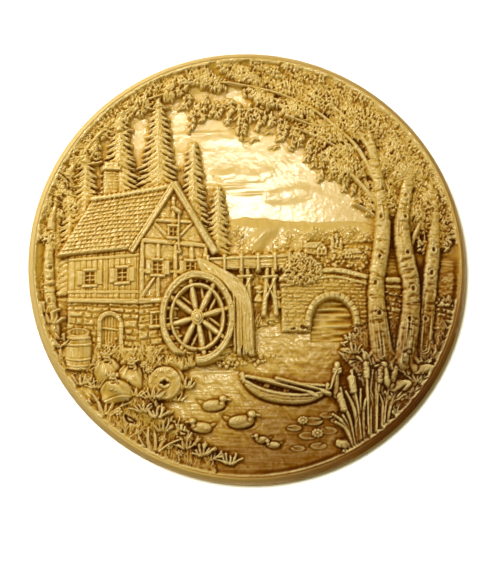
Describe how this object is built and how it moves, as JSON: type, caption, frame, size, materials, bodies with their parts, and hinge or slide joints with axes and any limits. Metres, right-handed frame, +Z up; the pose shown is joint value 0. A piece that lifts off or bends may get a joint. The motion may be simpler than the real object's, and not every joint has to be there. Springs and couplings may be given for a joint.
{
  "type": "decorative wall plate",
  "caption": "Round wall-hung relief plate cast in one piece, with a rolled rim, a plain foot ring behind and a carved country scene in front.",
  "frame": {"origin": "on the foot ring's flat rear face, at the top of the ring, where the hung plate bears on the wall", "axes": "+Z up as hung, -Y out of the wall towards the viewer, so the picture faces -Y and the wall plane is y = 0; +X to the viewer's right"},
  "size_m": [0.26, 0.0246, 0.26],
  "materials": {
    "resin": "honey cast resin with a brown antiquing wash, satin gloss"
  },
  "bodies": {
    "root": {"plate": "resin"}
  },
  "joints": []
}
